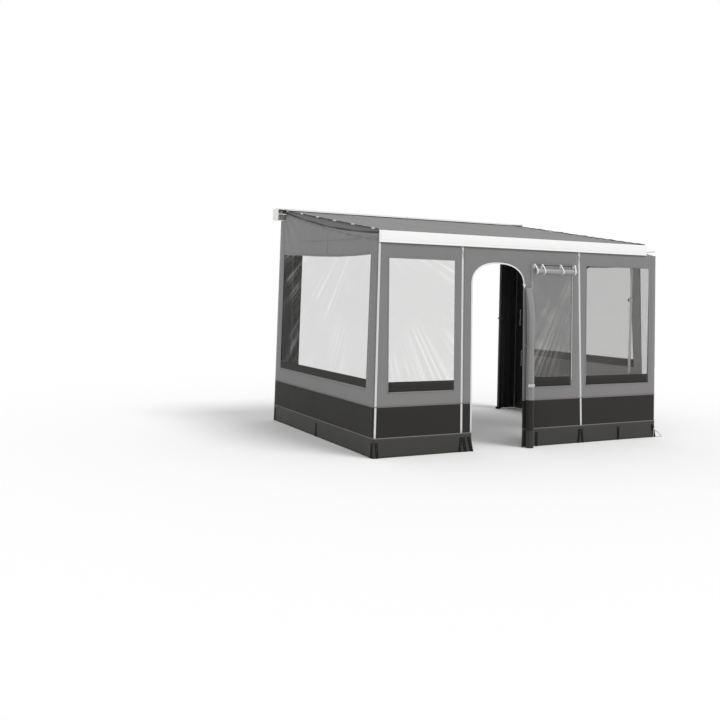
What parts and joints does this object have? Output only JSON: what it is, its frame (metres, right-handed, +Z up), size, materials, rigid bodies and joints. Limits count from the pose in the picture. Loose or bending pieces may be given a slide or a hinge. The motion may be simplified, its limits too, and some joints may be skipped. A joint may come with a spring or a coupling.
{
  "type": "caravan awning",
  "caption": "Full caravan awning: roll-out roof on folding spring arms, zipped front and side walls with clear windows, arched door, telescopic legs.",
  "frame": {"origin": "centre of the bounding box at ground level", "axes": "+X along the cassette towards its winch end, +Y towards the caravan side that it is fixed to, +Z up"},
  "size_m": [3.8824, 2.778, 2.632],
  "materials": {
    "blind_roll": "white coated cloth",
    "cassette_housing": "white powder coat, satin",
    "corner_guy_hook": "anodised, satin",
    "door_piping": "white coated cloth",
    "door_roll": "coated dark grey, matt",
    "door_tie": "white coated cloth",
    "front_left_panel": "coated woven grey, matt",
    "front_left_skirt": "coated dark grey, matt",
    "front_left_window": "clear soft film, glossy",
    "front_middle_panel": "coated woven grey, matt",
    "front_middle_window": "clear soft film, glossy",
    "front_right_panel": "coated woven grey, matt",
    "front_right_skirt": "coated dark grey, matt",
    "front_right_window": "clear soft film, glossy",
    "lead_rail": "white powder coat, satin",
    "left_arm_shoulder": "anodised, satin",
    "left_arm_wrist": "anodised, satin",
    "left_eave_strip": "coated woven grey, matt",
    "left_end_cap": "white, smooth",
    "left_forearm": "white powder coat, satin",
    "left_leg_foot": "black, moulded",
    "left_leg_hinge": "anodised, satin",
    "left_leg_knob": "black, moulded",
    "left_leg_lower": "anodised, satin",
    "left_leg_upper": "anodised, satin",
    "left_rafter": "anodised, satin",
    "left_rail_cap": "white, smooth",
    "left_rear_flap": "coated dark grey, matt",
    "left_side_skirt": "coated dark grey, matt",
    "left_side_wall": "coated woven grey, matt",
    "left_side_window": "clear soft film, glossy",
    "left_upper_arm": "white powder coat, satin",
    "left_upright_lower": "anodised, satin",
    "left_upright_upper": "anodised, satin",
    "left_zip_slider": "plated, bright",
    "right_arm_shoulder": "anodised, satin",
    "right_arm_wrist": "anodised, satin",
    "right_eave_strip": "coated woven grey, matt",
    "right_end_cap": "white, smooth",
    "right_forearm": "white powder coat, satin",
    "right_leg_foot": "black, moulded",
    "right_leg_hinge": "anodised, satin",
    "right_leg_knob": "black, moulded",
    "right_leg_lower": "anodised, satin",
    "right_leg_upper": "anodised, satin",
    "right_rafter": "anodised, satin",
    "right_rail_cap": "white, smooth",
    "right_rear_flap": "coated dark grey, matt",
    "right_side_skirt": "coated dark grey, matt",
    "right_side_wall": "coated woven grey, matt",
    "right_side_window": "clear soft film, glossy",
    "right_upper_arm": "white powder coat, satin",
    "right_upright_lower": "anodised, satin",
    "right_upright_upper": "anodised, satin",
    "right_zip_slider": "plated, bright",
    "roller_tube": "coated woven grey, matt",
    "roof_canopy": "coated woven grey, matt",
    "wall_mounting_rail": "anodised, satin",
    "winch_eye": "plated, bright",
    "winch_gearbox": "white powder coat, satin"
  },
  "bodies": {
    "cassette": {"cassette_housing": "cassette_housing", "left_arm_shoulder": "left_arm_shoulder", "left_eave_strip": "left_eave_strip", "left_end_cap": "left_end_cap", "left_rear_flap": "left_rear_flap", "left_side_skirt": "left_side_skirt", "left_side_wall": "left_side_wall", "left_side_window": "left_side_window", "left_upright_lower": "left_upright_lower", "right_arm_shoulder": "right_arm_shoulder", "right_eave_strip": "right_eave_strip", "right_end_cap": "right_end_cap", "right_rear_flap": "right_rear_flap", "right_side_skirt": "right_side_skirt", "right_side_wall": "right_side_wall", "right_side_window": "right_side_window", "right_upright_lower": "right_upright_lower", "roof_canopy": "roof_canopy", "wall_mounting_rail": "wall_mounting_rail", "winch_gearbox": "winch_gearbox"},
    "roller": {"roller_tube": "roller_tube"},
    "winch": {"winch_eye": "winch_eye"},
    "rail": {"lead_rail": "lead_rail", "left_rail_cap": "left_rail_cap", "right_rail_cap": "right_rail_cap", "left_arm_wrist": "left_arm_wrist", "right_arm_wrist": "right_arm_wrist", "left_leg_hinge": "left_leg_hinge", "right_leg_hinge": "right_leg_hinge", "front_left_panel": "front_left_panel", "front_middle_panel": "front_middle_panel", "front_right_panel": "front_right_panel", "front_left_window": "front_left_window", "front_middle_window": "front_middle_window", "front_right_window": "front_right_window", "front_left_skirt": "front_left_skirt", "front_right_skirt": "front_right_skirt", "door_piping": "door_piping", "door_roll": "door_roll", "door_tie": "door_tie", "blind_roll": "blind_roll", "corner_guy_hook": "corner_guy_hook"},
    "left_upper_arm_body": {"left_upper_arm": "left_upper_arm"},
    "left_forearm_body": {"left_forearm": "left_forearm"},
    "left_rafter_body": {"left_rafter": "left_rafter"},
    "left_upright_body": {"left_upright_upper": "left_upright_upper"},
    "left_leg_upper_body": {"left_leg_upper": "left_leg_upper"},
    "left_leg_lower_body": {"left_leg_lower": "left_leg_lower"},
    "left_leg_foot_body": {"left_leg_foot": "left_leg_foot"},
    "left_leg_knob_body": {"left_leg_knob": "left_leg_knob"},
    "left_slider_body": {"left_zip_slider": "left_zip_slider"},
    "right_upper_arm_body": {"right_upper_arm": "right_upper_arm"},
    "right_forearm_body": {"right_forearm": "right_forearm"},
    "right_rafter_body": {"right_rafter": "right_rafter"},
    "right_upright_body": {"right_upright_upper": "right_upright_upper"},
    "right_leg_upper_body": {"right_leg_upper": "right_leg_upper"},
    "right_leg_lower_body": {"right_leg_lower": "right_leg_lower"},
    "right_leg_foot_body": {"right_leg_foot": "right_leg_foot"},
    "right_leg_knob_body": {"right_leg_knob": "right_leg_knob"},
    "right_slider_body": {"right_zip_slider": "right_zip_slider"}
  },
  "joints": [
    {"name": "left_shoulder", "type": "hinge", "parent": "cassette", "child": "left_upper_arm_body", "pos_m": [-1.58123, 1.24402, 2.53543], "axis": [0, -0.1508, 0.9886], "range_deg": [0, 76], "deforming": ["roof_canopy", "left_eave_strip", "left_side_wall", "left_side_window", "left_side_skirt", "right_eave_strip", "right_side_wall", "right_side_window", "right_side_skirt"]},
    {"name": "left_elbow", "type": "hinge", "parent": "left_upper_arm_body", "child": "left_forearm_body", "pos_m": [-1.32321, 0.04402, 2.35242], "axis": [0, -0.1508, 0.9886], "range_deg": [-152, 0]},
    {"name": "left_wrist", "type": "hinge", "parent": "left_forearm_body", "child": "rail", "pos_m": [-1.58123, -1.15598, 2.16942], "axis": [0, -0.1508, 0.9886], "range_deg": [0, 76]},
    {"name": "right_shoulder", "type": "hinge", "parent": "cassette", "child": "right_upper_arm_body", "pos_m": [1.41877, 1.24402, 2.53543], "axis": [0, -0.1508, 0.9886], "range_deg": [-76, 0]},
    {"name": "right_elbow", "type": "hinge", "parent": "right_upper_arm_body", "child": "right_forearm_body", "pos_m": [1.16076, 0.04402, 2.35242], "axis": [0, -0.1508, 0.9886], "range_deg": [0, 152]},
    {"name": "roller_spin", "type": "hinge", "parent": "cassette", "child": "roller", "pos_m": [-0.08123, 1.33202, 2.58065], "axis": [1, 0, 0], "range_deg": [-3960, 0]},
    {"name": "winch_spin", "type": "hinge", "parent": "cassette", "child": "winch", "pos_m": [1.67877, 1.33202, 2.4357], "axis": [0, 0, 1], "range_deg": [0, 15840]},
    {"name": "left_rafter_swing", "type": "hinge", "parent": "cassette", "child": "left_rafter_body", "pos_m": [-1.79623, 1.22902, 2.56], "axis": [1, 0, 0], "range_deg": [0, 81.4]},
    {"name": "right_rafter_swing", "type": "hinge", "parent": "cassette", "child": "right_rafter_body", "pos_m": [1.63377, 1.22902, 2.56], "axis": [1, 0, 0], "range_deg": [0, 81.4]},
    {"name": "left_leg_fold", "type": "hinge", "parent": "rail", "child": "left_leg_upper_body", "pos_m": [-1.73623, -1.17398, 2.07], "axis": [0, -1, 0], "range_deg": [0, 90]},
    {"name": "left_leg_length", "type": "slide", "parent": "left_leg_upper_body", "child": "left_leg_lower_body", "axis": [0, 0, 1], "range_m": [0, 0.42]},
    {"name": "left_leg_clamp", "type": "hinge", "parent": "left_leg_lower_body", "child": "left_leg_knob_body", "pos_m": [-1.73623, -1.17398, 1.59], "axis": [0, 1, 0], "range_deg": [0, 360]},
    {"name": "left_foot_tilt", "type": "hinge", "parent": "left_leg_lower_body", "child": "left_leg_foot_body", "pos_m": [-1.73623, -1.17398, 0.034], "axis": [0, 1, 0], "range_deg": [-30, 30]},
    {"name": "right_leg_fold", "type": "hinge", "parent": "rail", "child": "right_leg_upper_body", "pos_m": [1.57377, -1.12798, 2.07], "axis": [0, 1, 0], "range_deg": [0, 90]},
    {"name": "right_leg_length", "type": "slide", "parent": "right_leg_upper_body", "child": "right_leg_lower_body", "axis": [0, 0, 1], "range_m": [0, 0.42]},
    {"name": "right_leg_clamp", "type": "hinge", "parent": "right_leg_lower_body", "child": "right_leg_knob_body", "pos_m": [1.57377, -1.12798, 1.59], "axis": [0, 1, 0], "range_deg": [0, 360]},
    {"name": "right_foot_tilt", "type": "hinge", "parent": "right_leg_lower_body", "child": "right_leg_foot_body", "pos_m": [1.57377, -1.12798, 0.034], "axis": [0, 1, 0], "range_deg": [-30, 30]},
    {"name": "left_upright_length", "type": "slide", "parent": "cassette", "child": "left_upright_body", "axis": [0, 0, -1], "range_m": [0, 0.95]},
    {"name": "right_upright_length", "type": "slide", "parent": "cassette", "child": "right_upright_body", "axis": [0, 0, -1], "range_m": [0, 0.95]},
    {"name": "left_zip", "type": "slide", "parent": "rail", "child": "left_slider_body", "axis": [0, -0.0256, -0.9997], "range_m": [0, 1.8]},
    {"name": "right_zip", "type": "slide", "parent": "rail", "child": "right_slider_body", "axis": [0.0265, -0.0256, -0.9993], "range_m": [0, 1.8]}
  ],
  "couplings": [
    {"joint": "left_elbow", "follows": "left_shoulder", "ratio": -2},
    {"joint": "left_wrist", "follows": "left_shoulder", "ratio": 1},
    {"joint": "right_shoulder", "follows": "left_shoulder", "ratio": -1},
    {"joint": "right_elbow", "follows": "left_shoulder", "ratio": 2},
    {"joint": "roller_spin", "follows": "left_shoulder", "ratio": -52},
    {"joint": "winch_spin", "follows": "left_shoulder", "ratio": 208},
    {"joint": "left_rafter_swing", "follows": "left_shoulder", "ratio": 1.07},
    {"joint": "right_rafter_swing", "follows": "left_shoulder", "ratio": 1.07}
  ]
}
